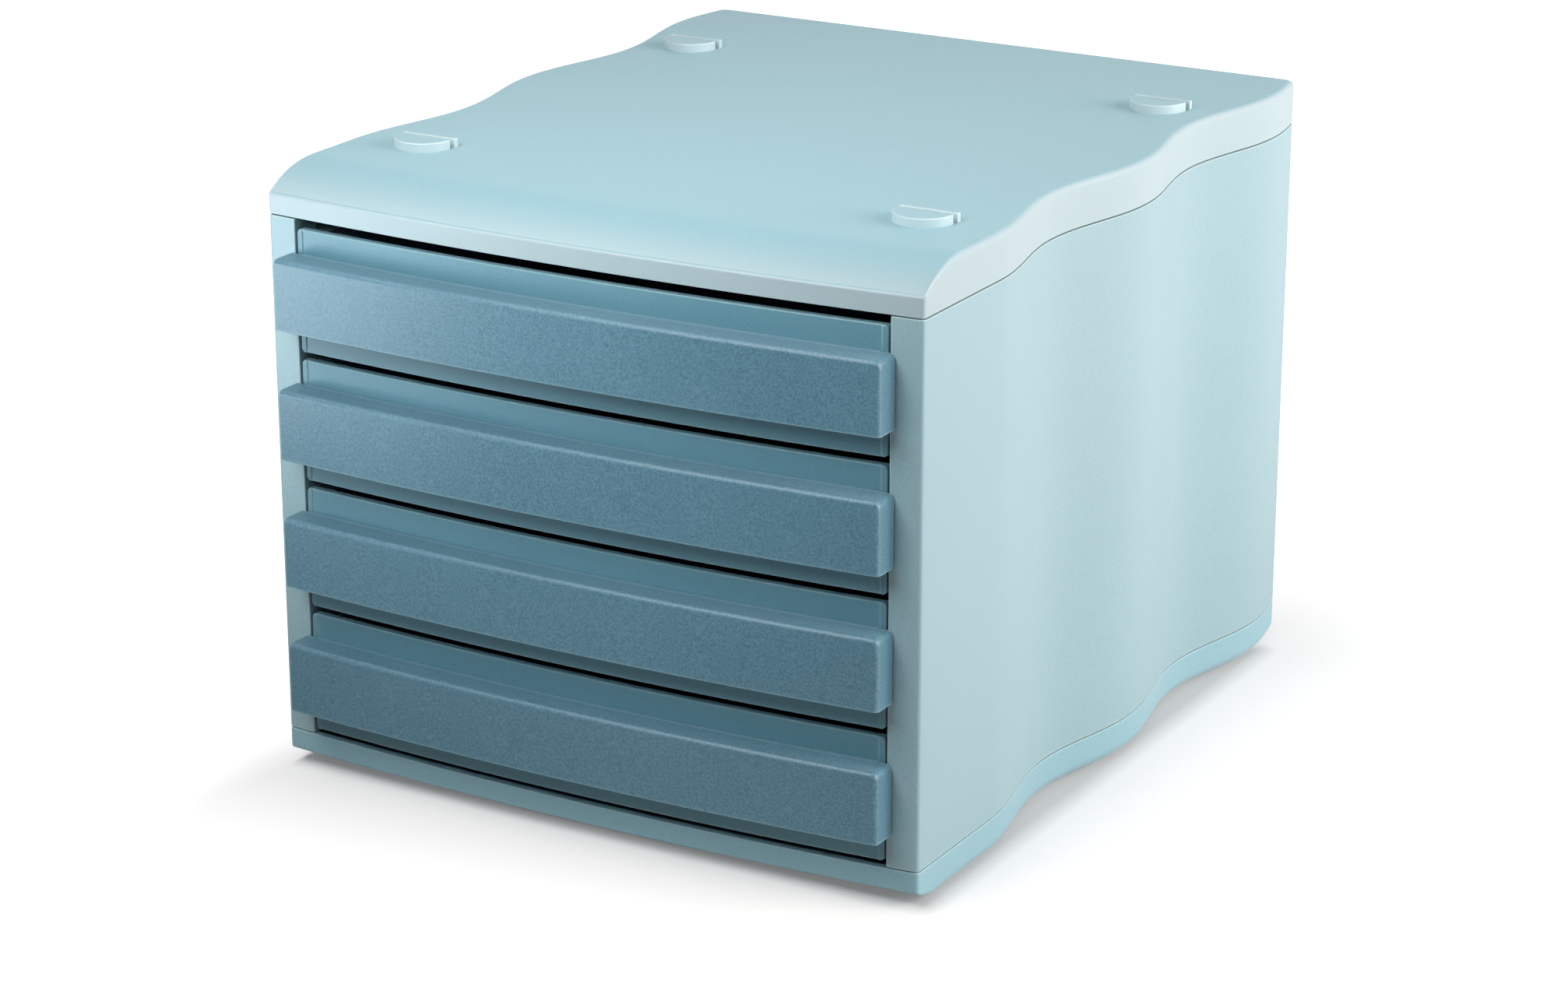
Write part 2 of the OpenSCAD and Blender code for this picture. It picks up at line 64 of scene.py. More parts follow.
MM = 0.001
WIDTH, DEPTH, BOW = 288.0, 336.0, 6.3
FRONT = -158.85                 # the front corners of the case, in the frame
BASE_LOW, BASE_TOP, COVER_LOW = 1.0, 15.5, 230.0
COVER_H = 18.0                  # from the cover's rim to its flat top
COVER_NOSE = 28.0               # how far back the cover's front curve reaches
CORNER, BACK_CORNER = 1.5, 2.5  # upright edges at the front and at the back
OPENING = 131.0                 # half the width between the side walls' front frames
SEAM = 0.5                      # parting lines under the cover and over the base
WAVE_START, WAVE_LENGTH, WAVE_DEPTH = 58.0, 124.0, 9.0
ARC = ((WIDTH / 2 - CORNER) ** 2 + BOW ** 2) / (2 * BOW)
print(f"the front is an arc of {ARC / 1000:.2f} m radius in plan")

# %% [markdown]
# Node trees are built by one helper that adds a node, sets it and links it. A longer
# calculation reads better as a line of arithmetic than as fifteen lines of nodes, so a
# second helper reads such a line and adds one Math node for each sign in it.

# %% Helpers for node trees
SIGNS = {ast.Add: "ADD", ast.Sub: "SUBTRACT", ast.Mult: "MULTIPLY", ast.Div: "DIVIDE"}
WORDS = {"sin": "SINE", "cos": "COSINE", "sqrt": "SQRT", "abs": "ABSOLUTE",
         "min": "MINIMUM", "max": "MAXIMUM", "below": "LESS_THAN"}


def add(tree, kind, values=(), **settings):
    """Add a node. values gives its inputs, by name or in order, as numbers or as sockets."""
    node = tree.nodes.new(kind)
    for name, value in settings.items():
        setattr(node, name, value)
    for key, value in values.items() if isinstance(values, dict) else enumerate(values):
        if isinstance(value, bpy.types.NodeSocket):
            tree.links.new(value, node.inputs[key])
        else:
            node.inputs[key].default_value = value
    return node


def formula(tree, text, known):
    """Turn a line of arithmetic into Math nodes. known gives the sockets its names stand for."""
    def build(part):
        if isinstance(part, ast.Constant):
            return part.value
        if isinstance(part, ast.Name):
            return known[part.id]
        if isinstance(part, ast.Call):
            kind, parts = WORDS[part.func.id], part.args
        else:
            kind, parts = SIGNS[type(part.op)], (part.left, part.right)
        values = [build(each) for each in parts]
        return add(tree, "ShaderNodeMath", values, operation=kind).outputs[0]
    return build(ast.parse(text).body[0].value)


def emptied(owner):
    """The node tree of a material or a world, with nothing in it."""
    owner.use_nodes = True
    owner.node_tree.nodes.clear()
    return owner.node_tree


# %% [markdown]
# ## The plastics
# The case, the drawers and the handles are high-impact polystyrene, tinted grey-blue in the
# mass and moulded in spark-eroded steel. The spark leaves the steel finely pitted, and the
# plastic copies the pits: that gives a dry, even sheen with no mirror in it. The handles
# come from a mould with a coarser pitting, so that fingers don't slip and don't leave marks.
#
# An image could carry such a grain, but it would have a seam and one fixed scale. Noise in
# Object coordinates has neither, and its scale is the size of a pit. Because tinted plastic
# is never perfectly even, a second, slow noise shifts the colour a little. Edges are a little
# smoother than the flats, and painted lighter: a painted highlight, like the thin light line
# that a rounded edge catches. A Bevel node finds them: it rounds the normal near an edge, and
# the more that leans off the real one, the lighter the paint. On the cover and its lugs the
# upright faces are painted paler than the flat top, a painted reflection of the room's glare
# on them, so their angle picks a third shade.

# %% Material helpers
def linear(colour):
    """A written sRGB colour as the linear numbers that Blender calculates with."""
    parts = [int(colour[i:i + 2], 16) / 255 for i in (1, 3, 5)]
    return [p / 12.92 if p <= 0.04045 else ((p + 0.055) / 1.055) ** 2.4 for p in parts] + [1.0]


CLOUD = 70.0                    # mm across one slow shift of colour
MIX, FIRST, SECOND, MIXED = 0, 6, 7, 2      # sockets of a Mix node that mixes colours


def mixed(tree, share, first, second):
    """Mix two colours, each one a socket or written as sRGB."""
    colours = [each if isinstance(each, bpy.types.NodeSocket) else linear(each)
               for each in (first, second)]
    return add(tree, "ShaderNodeMix", {MIX: share, FIRST: colours[0], SECOND: colours[1]},
               data_type="RGBA").outputs[MIXED]


def moulded(name, low, high, edge_highlight, grain, depth, speck, roughness,
            highlight_width=0.8, upright_sheen=None, ior=1.59):
    """Spark-eroded plastic. low and high are its two near shades, speck is how strongly a pit
    picks between them, and grain and depth are the size of a pit. Edges are painted lighter with
    the third shade, a painted highlight, over a width given in mm. A shade given for upright
    faces is painted on them, a painted reflection of the room's glare, where they differ."""
    material = bpy.data.materials.new(name)
    tree = emptied(material)
    place = add(tree, "ShaderNodeTexCoord").outputs["Object"]
    pits = add(tree, "ShaderNodeTexNoise", {"Vector": place, "Scale": 1 / (grain * MM),
               "Detail": 2.0, "Roughness": 0.55}).outputs[0]
    clouds = add(tree, "ShaderNodeTexNoise", {"Vector": place, "Scale": 1 / (CLOUD * MM),
                 "Detail": 3.0}).outputs[0]
    known = {"pits": pits, "clouds": clouds}
    blend = formula(tree, f"0.5 + (clouds - 0.5) * 0.5 + (pits - 0.5) * {speck}", known)
    shade = mixed(tree, blend, low, high)
    facing = add(tree, "ShaderNodeNewGeometry").outputs["Normal"]
    # Upright faces get a paler shade: a painted reflection of the room's glare.
    if upright_sheen:
        rise = add(tree, "ShaderNodeSeparateXYZ", [facing]).outputs["Z"]
        wall = add(tree, "ShaderNodeMapRange", {
            "Value": formula(tree, "abs(rise)", {"rise": rise}),
            "From Min": 0.995, "From Max": 0.75, "To Min": 0.0, "To Max": 1.0}).outputs[0]
        shade = mixed(tree, wall, shade, upright_sheen)
    # Edges get a lighter shade: a painted highlight where the Bevel normal leans off the real one.
    rounded = add(tree, "ShaderNodeBevel", {"Radius": highlight_width * MM}, samples=4).outputs[0]
    lean = add(tree, "ShaderNodeVectorMath", [rounded, facing],
               operation="DOT_PRODUCT").outputs["Value"]
    known["edge"] = add(tree, "ShaderNodeMapRange", {
        "Value": lean, "From Min": 0.99, "From Max": 0.9, "To Min": 0.0, "To Max": 0.8}).outputs[0]
    colour = mixed(tree, known["edge"], shade, edge_highlight)
    dull = formula(tree, f"{roughness} + (pits - 0.5) * 0.16 + (clouds - 0.5) * 0.06 - edge * 0.1",
                   known)
    bump = add(tree, "ShaderNodeBump", {"Strength": 1.0, "Distance": depth * MM, "Height": pits})
    shader = add(tree, "ShaderNodeBsdfPrincipled", {
        "Base Color": colour, "Roughness": dull, "IOR": ior,
        "Sheen Weight": 0.25, "Sheen Roughness": 0.4, "Normal": bump.outputs[0]})
    add(tree, "ShaderNodeOutputMaterial", {"Surface": shader.outputs[0]})
    return material


# %% The finishes
# Fine pitting of about 0.3 mm, drawn at 0.6 mm so that it shows: a satin sheen.
case_plastic = moulded("Polystyrene moulded fine spark finish case",
                       "#86afbb", "#91b9c4", "#d6e8ea", 0.6, 0.012, 3.2, 0.5)
# The cover is a touch deeper on top; its lip and sides are painted paler, a painted reflection of
# the room's glare.
cover_plastic = moulded("Polystyrene moulded fine spark finish cover",
                        "#7eaab6", "#8ab5c0", "#c8dede", 0.6, 0.012, 3.2, 0.5, upright_sheen="#a7bac0")
# The lugs' upright faces are painted bright, a painted reflection of the room's glare on them.
lug_plastic = moulded("Polystyrene moulded lug with painted wall sheen",
                      "#7eaab6", "#8ab5c0", "#e4f0f0", 0.6, 0.012, 3.2, 0.45, upright_sheen="#bfd3d8")
# The side walls are a touch greyer, a painted reflection: the grey stands in for the pale glare
# that the bright light lays on them.
wall_plastic = moulded("Polystyrene moulded fine spark finish side wall",
                       "#8cabb5", "#98b7be", "#e0ece4", 0.6, 0.012, 3.2, 0.5)
# The drawers come from the same resin and the same steel, a shade deeper.
drawer_plastic = moulded("Polystyrene moulded fine spark finish drawer",
                         "#578797", "#6392a1", "#c4dad4", 0.6, 0.012, 2.4, 0.5)
# Coarse pitting of about 0.6 mm, drawn at 0.9 mm: each pit shows as a dark or a light speck.
handle_plastic = moulded("Polystyrene moulded coarse spark finish handle",
                         "#426e81", "#5f8a9c", "#8fb4c4", 0.9, 0.05, 2.6, 0.45, highlight_width=1.4)
# Black thermoplastic rubber, matt from its mould.
foot_rubber = moulded("Thermoplastic rubber moulded matt foot",
                      "#141416", "#1c1c1f", "#2c2c30", 0.4, 0.02, 1.0, 0.72, ior=1.5)
print("finishes:", [material.name for material in bpy.data.materials if material.users == 0])

# %% [markdown]
# ## The closed form behind every piece
# Mouldings are thin shells with rounded rims. A modelling tool could extrude and bevel them,
# but a bevel doesn't know that its radius should shrink along a lip. Here every form is a
# "pillow": the edge of a grid is repeated once for each level, like the wall of a cake tin,
# and the whole grid closes the first and the last level. Levels may go up the outside and
# down the inside, so a pillow can be a plate, a tray or a hollow cover, and always closed.

# %% Pillows and prisms
def pillow(columns, rows, levels):
    """Points (column, row, level) and faces of a closed form."""
    edge = ([(c, 0) for c in range(columns)] + [(columns, r) for r in range(rows)]
            + [(c, rows) for c in range(columns, 0, -1)] + [(0, r) for r in range(rows, 0, -1)])
    points, faces = {}, []

    def at(c, r, level):
        return points.setdefault((c, r, level), len(points))

    for k in range(levels - 1):
        for a, b in zip(edge, edge[1:] + edge[:1]):
            faces.append((at(*a, k), at(*b, k), at(*b, k + 1), at(*a, k + 1)))
    for c in range(columns):
        for r in range(rows):
            quad = [(c, r), (c + 1, r), (c + 1, r + 1), (c, r + 1)]
            faces.append([at(*corner, levels - 1) for corner in quad])
            faces.append([at(*corner, 0) for corner in reversed(quad)])
    return list(points), faces


def prism(outline, levels):
    """Closed form over a flat outline, with (height, inset) for each level."""
    count = len(outline)
    ways = [(Vector(outline[(i + 1) % count]) - Vector(outline[i])).normalized()
            for i in range(count)]
    points, faces = [], [list(reversed(range(count)))]
    for height, inset in levels:
        for i, point in enumerate(outline):
            inward = Vector((-ways[i - 1].y - ways[i].y, ways[i - 1].x + ways[i].x)).normalized()
            lean = inward.dot(Vector((-ways[i].y, ways[i].x)))
            corner = Vector(point) + inward * inset / max(lean, 0.3)
            points.append((corner.x, corner.y, height))
    for k in range(len(levels) - 1):
        for i in range(count):
            j = (i + 1) % count
            faces.append((k * count + i, k * count + j, (k + 1) * count + j, (k + 1) * count + i))
    faces.append([(len(levels) - 1) * count + i for i in range(count)])
    return points, faces


ROUND = [(1 - math.sin(a), 1 - math.cos(a)) for a in (0.0, 0.52, 1.05, 1.57)]


def mesh_of(name, parts):
    """One mesh in metres from parts given as points and faces in case millimetres."""
    points, faces = [], []
    for part_points, part_faces in parts:
        faces += [[len(points) + i for i in face] for face in part_faces]
        points += [(x * MM, (y + FRONT) * MM, z * MM) for x, y, z in part_points]
    mesh = bpy.data.meshes.new(name)
    mesh.from_pydata(points, [], faces)
    return mesh


def placed(name, data):
    """An object in the scene that holds a mesh, a lamp or a camera."""
    thing = bpy.data.objects.new(name, data)
    bpy.context.collection.objects.link(thing)
    return thing


def as_mesh(thing):
    """A plain mesh of an object as its modifiers leave it."""
    return bpy.data.meshes.new_from_object(
        thing.evaluated_get(bpy.context.evaluated_depsgraph_get()))


# %% [markdown]
# Light shows every mistake in a piece's shading. Flats must stay flat right up to their
# rounded edges, so each piece gets smooth faces, marks every fold over 32 degrees as sharp,
# and lets large faces outvote the small ones when they share a normal.

# %% Finish a piece
FOLD, DOUBLE = 32.0, 0.002      # degrees of a fold that stays sharp, mm between doubled points


def finished(mesh, name, body, nodes, material=None):
    """Shade a mesh, make it a piece of the object, and put it in place of CAD nodes."""
    form = bmesh.new()
    form.from_mesh(mesh)
    bmesh.ops.remove_doubles(form, verts=form.verts, dist=DOUBLE * MM)
    for face in form.faces:
        face.smooth = True
    for edge in form.edges:
        edge.smooth = edge.calc_face_angle(0.0) < math.radians(FOLD)
    form.to_mesh(mesh)
    form.free()
    if material:
        mesh.materials.append(material)
    piece = placed(name, mesh)
    even = piece.modifiers.new("Even shading", "WEIGHTED_NORMAL")
    even.keep_sharp = True
    baked = as_mesh(piece)
    piece.modifiers.remove(even)
    piece.data = baked
    baked.name = name
    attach(piece, body)
    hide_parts(*nodes)
    print(f"{name}: {sum(len(face.vertices) - 2 for face in baked.polygons)} triangles")
    return piece


# %% [markdown]
# ## The rule of the waved case
# Cover, base and side walls meet along the same waved line all the way round, so one rule
# has to shape all of them. Sculpting four pieces by hand would never make their edges agree.
# The rule is therefore one Geometry Nodes tree. Its blank is a mesh whose points don't yet
# have a shape, only an address: how far across and along the case they are, how far inside
# its outline, and how high up their wall. The tree reads the address and works out the
# place: the wave at the side, the bow and the curved nose at the front, and the roundings.
# In an address, "lift" is a height in mm, "rise" is 1 for points that hang from the top, and
# "turn" goes from 0 to 1 round the upper edge. "straight" is a place in mm from the middle,
# for points that don't follow the waved line.

# %% The rule as arithmetic
RULE = """
radius = lip_r + (edge_r - lip_r) * min(1, along / nose)
draw = inset + radius * (1 - cos(turn * 1.570796))
front = max(0, 1 - along / start)
back = max(0, 1 - (depth - along) / 20)
reach = along + draw * front - draw * back
phase = max(0, reach - start) * 6.283185 / length
pull = wave / 2 * (1 - cos(phase))
slope = wave * 3.141593 / length * sin(phase)
near = max(0, front_r - along)
far = max(0, back_r - (depth - along))
corner = front_r - sqrt(front_r * front_r - near * near)
corners = corner + back_r - sqrt(back_r * back_r - far * far)
half = width / 2 - pull - corners - draw * sqrt(1 + slope * slope)
x = across * half + straight
share = min(1, abs(x) / (width / 2 - front_r))
fade = min(1, max(0, (100 - along) / 72))
y = reach - bow * (1 - share * share) * fade
fall = max(0.001, height - lip)
bend = (nose * nose + fall * fall) / (2 * fall)
rest = max(0, nose - along)
top = height - bend + sqrt(bend * bend - rest * rest)
z = lift + rise * (top - radius) + radius * sin(turn * 1.570796)
"""
INPUTS = {
    "width": ("Width", WIDTH), "depth": ("Depth", DEPTH), "bow": ("Front bow", BOW),
    "start": ("Wave start", WAVE_START), "length": ("Wave length", WAVE_LENGTH),
    "wave": ("Wave depth", WAVE_DEPTH), "front_r": ("Front corner radius", CORNER),
    "back_r": ("Back corner radius", BACK_CORNER), "height": ("Height", COVER_H),
    "lip": ("Lip height", 8.4), "nose": ("Nose length", COVER_NOSE),
    "edge_r": ("Edge radius", 2.5), "lip_r": ("Lip edge radius", 1.2),
    "side": ("Side", 1.0), "up": ("Up", 1.0), "level": ("Level", 0.0),
    "front_at": ("Front at", FRONT),
}

# %% Trees that make geometry
def new_tree(name, sizes):
    """A tree that takes a blank, a finish and sizes, and the sockets that give them."""
    tree = bpy.data.node_groups.new(name, "GeometryNodeTree")
    tree.interface.new_socket("Form", in_out="OUTPUT", socket_type="NodeSocketGeometry")
    for label, kind in (("Blank", "Geometry"), ("Finish", "Material")):
        tree.interface.new_socket(label, in_out="INPUT", socket_type="NodeSocket" + kind)
    for label, value in sizes:
        socket = tree.interface.new_socket(label, in_out="INPUT", socket_type="NodeSocketFloat")
        socket.default_value = value
    return tree, add(tree, "NodeGroupInput").outputs


def hand_out(tree, form, finish):
    """End a tree: make all of its geometry real and give it its finish."""
    real = add(tree, "GeometryNodeRealizeInstances", [form])
    coated = add(tree, "GeometryNodeSetMaterial", {"Geometry": real.outputs[0],
                 "Material": finish})
    add(tree, "NodeGroupOutput", [coated.outputs[0]])


# %% The rule as a node tree
waved, given = new_tree("Waved case form", INPUTS.values())
known = {name: given[label] for name, (label, value) in INPUTS.items()}
for title, names in (("plan", ("across", "along", "inset")), ("level", ("lift", "rise", "turn"))):
    address = add(waved, "GeometryNodeInputNamedAttribute", {"Name": title},
                  data_type="FLOAT_VECTOR").outputs["Attribute"]
    split = add(waved, "ShaderNodeSeparateXYZ", [address])
    known.update(zip(names, split.outputs))
known["straight"] = add(waved, "GeometryNodeInputNamedAttribute", {"Name": "straight"},
                        data_type="FLOAT").outputs["Attribute"]
for line in RULE.strip().splitlines():
    name, text = line.split(" = ")
    known[name] = formula(waved, text, known)
place = add(waved, "ShaderNodeCombineXYZ", [
    formula(waved, "x * side * 0.001", known),
    formula(waved, "(y + front_at) * 0.001", known),
    formula(waved, "(level + up * z) * 0.001", known)])
moved = add(waved, "GeometryNodeSetPosition", {"Geometry": given["Blank"],
            "Position": place.outputs[0]})
turned = add(waved, "GeometryNodeFlipFaces", {"Mesh": moved.outputs[0],
             "Selection": formula(waved, "below(side * up, 0)", known)})
hand_out(waved, turned.outputs[0], given["Finish"])
print("the rule needs", len(waved.nodes), "nodes")


# %% [markdown]
# A blank is made in code, because code can lay out rows of points more freely than a grid
# node can: close together round a corner, wide apart along a straight. The tree's inputs are
# set by their identifiers, and the result is kept as a plain mesh.

# %% Blanks, and how the tree shapes them
def blank_of(name, parts):
    """A mesh that only holds addresses. A part is points (plan, level, straight) and faces."""
    points, faces = [], []
    for part_points, part_faces in parts:
        faces += [[len(points) + i for i in face] for face in part_faces]
        points += part_points
    mesh = bpy.data.meshes.new(name)
    mesh.from_pydata([plan for plan, level, straight in points], [], faces)
    for k, title in enumerate(("plan", "level")):
        column = mesh.attributes.new(title, "FLOAT_VECTOR", "POINT")
        column.data.foreach_set("vector", [value for point in points for value in point[k]])
    column = mesh.attributes.new("straight", "FLOAT", "POINT")
    column.data.foreach_set("value", [point[2] for point in points])
    return mesh


def shaped(blank, tree, finish, sizes):
    """Run a blank through a node tree and keep the result as a plain mesh."""
    maker = placed(blank.name, blank)
    modifier = maker.modifiers.new(tree.name, "NODES")
    modifier.node_group = tree
    labels = {item.name: item.identifier for item in tree.interface.items_tree
              if item.item_type == "SOCKET" and item.in_out == "INPUT"}
    modifier[labels["Finish"]] = finish
    for label, value in sizes.items():
        modifier[labels[label]] = value
    mesh = as_mesh(maker)
    bpy.data.objects.remove(maker)
    for title in ("plan", "level", "straight"):
        if title in mesh.attributes:
            mesh.attributes.remove(mesh.attributes[title])
    return mesh


# %% [markdown]
# ## Top cover and base
# The cover is a thin shell, open below. Its front edge is an upright lip of 8 mm, from which
# the top rises in an arc to the flat. The base is the same idea upside down, with a larger
# rounding where it meets the table. One blank serves both: the levels run from the ceiling
# of the hollow down its inside, round the rim, and up the outside to the top.

# %% Rows of points from front to back
QUARTER = [1 - math.cos(math.radians(a)) for a in (0, 30, 60, 90)]
NOSE_ROWS, PLAIN_ROWS, WAVE_ROWS = 18, 6, 130


def spread(start, end, count):
    """Rows at even steps, without the one at the start."""
    return [start + (end - start) * i / count for i in range(1, count + 1)]


stations = ([CORNER * q for q in QUARTER] + spread(CORNER, COVER_NOSE, NOSE_ROWS)
            + spread(COVER_NOSE, WAVE_START, PLAIN_ROWS)
            + spread(WAVE_START, DEPTH - BACK_CORNER, WAVE_ROWS)
            + [DEPTH - BACK_CORNER * q for q in reversed(QUARTER[:-1])])
print(len(stations), "rows, about", round(stations[60] - stations[59], 1), "mm apart")

# %% Cover and base
ACROSS = 36                     # columns
WALL = 3.0
EDGE_STEPS = 7
# Each level is (inset, lift, rise, turn): the hollow, its rim, and the upper edge.
LEVELS = ([(WALL, -WALL, 1, 1), (WALL, 0, 0, 0), (0.4, 0, 0, 0), (0.12, 0.12, 0, 0),
           (0, 0.4, 0, 0)] + [(0, 0, 1, i / EDGE_STEPS) for i in range(EDGE_STEPS + 1)])


def shell_part():
    points, faces = pillow(ACROSS, len(stations) - 1, len(LEVELS))
    return [((2 * c / ACROSS - 1, stations[r], LEVELS[k][0]), LEVELS[k][1:], 0.0)
            for c, r, k in points], faces


cover_mesh = shaped(blank_of("Cover blank", [shell_part()]), waved, cover_plastic,
                    {"Level": COVER_LOW})
base_mesh = shaped(blank_of("Base blank", [shell_part()]), waved, case_plastic,
                   {"Level": BASE_TOP, "Up": -1.0, "Height": BASE_TOP - BASE_LOW,
                    "Lip height": 8.8, "Nose length": 20.0, "Edge radius": 5.0})
finished(cover_mesh, "cover", "cabinet", ["top_cover"])

# %% [markdown]
# ## Stacking lugs, wells and feet
# Four low lugs on the cover fit into four round wells under the base of the next cabinet.
# A lug is a half disc with a bar behind it, and the slot between them takes a thin key in
# the well. Lugs, wells and feet all stand on four places, two by two, so one small tree
# copies whatever it is given to the corners of a two by two grid.

# %% A tree that copies a piece to four places
PLACING = ("Apart across", "Apart along", "Centre along", "Level")
four, given = new_tree("Four places", [(label, 0.0) for label in PLACING])
metres = {label: formula(four, "value * 0.001", {"value": given[label]}) for label in PLACING}
grid = add(four, "GeometryNodeMeshGrid", {"Size X": metres["Apart across"],
           "Size Y": metres["Apart along"], "Vertices X": 2, "Vertices Y": 2})
shift = add(four, "ShaderNodeCombineXYZ", [0.0, metres["Centre along"], metres["Level"]])
corners = add(four, "GeometryNodeTransform", {"Geometry": grid.outputs[0],
              "Translation": shift.outputs[0]})
copies = add(four, "GeometryNodeInstanceOnPoints", {"Points": corners.outputs[0],
             "Instance": given["Blank"]})
hand_out(four, copies.outputs[0], given["Finish"])


def round_outline(radius, sides):
    angles = [2 * math.pi * i / sides for i in range(sides)]
    return [(radius * math.cos(a), radius * math.sin(a)) for a in angles]


def local_mesh(name, parts):
    """A mesh round the origin in metres. It takes off the FRONT that mesh_of adds."""
    moved = [([(x, y - FRONT, z) for x, y, z in points], faces) for points, faces in parts]
    return mesh_of(name, moved)


# %% Lugs
LUG_X, LUG_NEAR, LUG_FAR = 111.6, 60.0, 262.0
LUG_R, LUG_H, LUG_EDGE, SUNK = 12.0, 3.6, 0.45, 0.5
BAR_NEAR, BAR_FAR, BAR_OUT = 2.6, 4.6, 0.6      # the bar ends a little past the disc
LUG_PLACES = {"Apart across": 2 * LUG_X, "Apart along": LUG_FAR - LUG_NEAR,
              "Centre along": (LUG_NEAR + LUG_FAR) / 2 + FRONT}
half_disc = [(LUG_R * math.cos(a), LUG_R * math.sin(a)) for a in
             [math.pi * (1 + i / 40) for i in range(41)]]
bar = [(-LUG_R, BAR_NEAR), (LUG_R + BAR_OUT, BAR_NEAR), (LUG_R + BAR_OUT, BAR_FAR),
       (-LUG_R, BAR_FAR)]
lug_levels = [(-SUNK, 0.0)] + [(LUG_H - LUG_EDGE * down, LUG_EDGE * inset)
                               for down, inset in ROUND]
lugs = shaped(local_mesh("Lug blank", [prism(half_disc, lug_levels), prism(bar, lug_levels)]),
              four, lug_plastic, {**LUG_PLACES, "Level": COVER_LOW + COVER_H})
finished(lugs, "stacking_lugs", "cabinet", [])

# %% Wells in the base
WELL_R, WELL_DEPTH, WELL_WALL, WELL_SIDES = 14.3, 4.4, 2.2, 72
KEY_NEAR, KEY_FAR = 0.3, 1.3


def under_base(name, outline, levels):
    """Four copies of a prism, where the lugs of the cabinet below come."""
    return shaped(local_mesh(name, [prism(outline, levels)]), four, case_plastic,
                  {**LUG_PLACES, "Level": BASE_LOW})


boss = under_base("Boss blank", round_outline(WELL_R + WELL_WALL, WELL_SIDES),
                  [(0.0, 0.0), (WELL_DEPTH + WELL_WALL, 0.0)])
well = under_base("Well blank", round_outline(WELL_R, WELL_SIDES),
                  [(-1.0, -0.5), (0.0, -0.5), (0.15, -0.15), (0.5, 0.0), (WELL_DEPTH, 0.0)])
base_form = placed("Base form", base_mesh)
tools = [placed("Well tool", mesh) for mesh in (boss, well)]
for tool, how in zip(tools, ("UNION", "DIFFERENCE")):
    cut = base_form.modifiers.new("Well", "BOOLEAN")
    cut.object, cut.operation, cut.solver = tool, how, "EXACT"
base_mesh = as_mesh(base_form)
for scrap in [base_form] + tools:
    bpy.data.objects.remove(scrap)
finished(base_mesh, "base_shell", "cabinet", ["base"])
key = [(-LUG_R, KEY_NEAR), (LUG_R, KEY_NEAR), (LUG_R, KEY_FAR), (-LUG_R, KEY_FAR)]
keys = under_base("Key blank", key, [(0.6, 0.2), (0.8, 0.0), (WELL_DEPTH + SUNK, 0.0)])
finished(keys, "well_keys", "cabinet", [])

# %% Feet
FOOT_R, FOOT_SIDES = 6.0, 48
FOOT_ACROSS, FOOT_ALONG, FOOT_MIDDLE = 243.2, 274.0, 169.0
foot = prism(round_outline(FOOT_R, FOOT_SIDES),
             [(0.0, 1.2), (0.0, 0.6), (0.18, 0.18), (0.6, 0.0), (2.2, 0.0)])
feet = shaped(local_mesh("Foot blank", [foot]), four, foot_rubber,
              {"Apart across": FOOT_ACROSS, "Apart along": FOOT_ALONG,
               "Centre along": FOOT_MIDDLE + FRONT})
finished(feet, "rubber_feet", "cabinet",
         ["foot_front_left", "foot_front_right", "foot_rear_left", "foot_rear_right"])

# %% [markdown]
# ## Side walls
# A side wall is one thin strip: it starts as the narrow frame beside the drawers, turns the
# front corner, runs back along the wave and turns in behind the back panel. Inside it
# carries two shelves for each drawer, the runner and a short rail above it. The strip is a
# pillow with one column, from its inner to its outer skin, and a row for each step along
# the way. It stops a seam short of the cover and of the base, which leaves the dark parting
# lines. The left wall is the same blank with the tree's Side input at -1.

# %% Steps along the wall
SKIN = 2.5
JAMB_X, JAMB_Y, EASE = 133.5, 14.0, 0.5     # the frame turns in behind its edge by a jamb
STILE_X = (133.8, 135.5, 137.5, 139.5)      # rows across the flat frame
REAR_X, REAR_IN = (136.0, 133.5, 131.0), 3.0
INNER_FROM, INNER_TO = 3.0, 331.0           # where the inner skin follows the outer one


def at(x, y):
    """An address for a point that has a place of its own, off the waved line."""
    return (0.0, y, 0.0, x)


def on_line(y, inset=0.0):
    """An address for a point on the waved line, or inside it."""
    return (1.0, y, inset, 0.0)


path = [(at(JAMB_X, JAMB_Y), at(OPENING, JAMB_Y))]
for a in (0, 22, 45, 68, 90):
    turn = math.radians(a)
    path.append((at(JAMB_X, SKIN + 0.6 - a / 150),
                 at(OPENING + EASE * (1 - math.cos(turn)), EASE * (1 - math.sin(turn)))))
path += [(at(x, SKIN), at(x, 0.0)) for x in STILE_X]
# Round the front corner the inner skin turns in small steps of its own.
path += [(at(140.6 + 0.3 * i, SKIN), on_line(y)) for i, y in enumerate(stations[:3])]
path += [(at(141.5, SKIN + 0.3), on_line(CORNER))]
path += [(on_line(y, SKIN), on_line(y)) for y in stations if INNER_FROM < y < INNER_TO]
# Round the rear corner it does the same, and then both skins run in behind the panel.
path += [(at(137.4 - 0.1 * i, 331.6 + 0.35 * i), on_line(y))
         for i, y in enumerate([y for y in stations if y >= INNER_TO])]
path += [(at(x, DEPTH - REAR_IN), at(x, DEPTH)) for x in REAR_X]
# Each level is (ease, lift, rise, turn). The ease draws the outer skin in at the seams.
WALL_LEVELS = [(0.25, SEAM, 0, 0), (0.07, SEAM + 0.07, 0, 0), (0, SEAM + 0.25, 0, 0),
               (0, -SEAM - 0.25, 1, 0), (0.07, -SEAM - 0.07, 1, 0), (0.25, -SEAM, 1, 0)]


def wall_part():
    points, faces = pillow(1, len(path) - 1, len(WALL_LEVELS))
    result = []
    for c, r, k in points:
        across, along, inset, straight = path[r][c]
        ease, lift, rise, turn = WALL_LEVELS[k]
        plan = (across, along, inset + (ease if c else 0.0))
        result.append((plan, (lift, rise, turn), straight))
    return result, faces


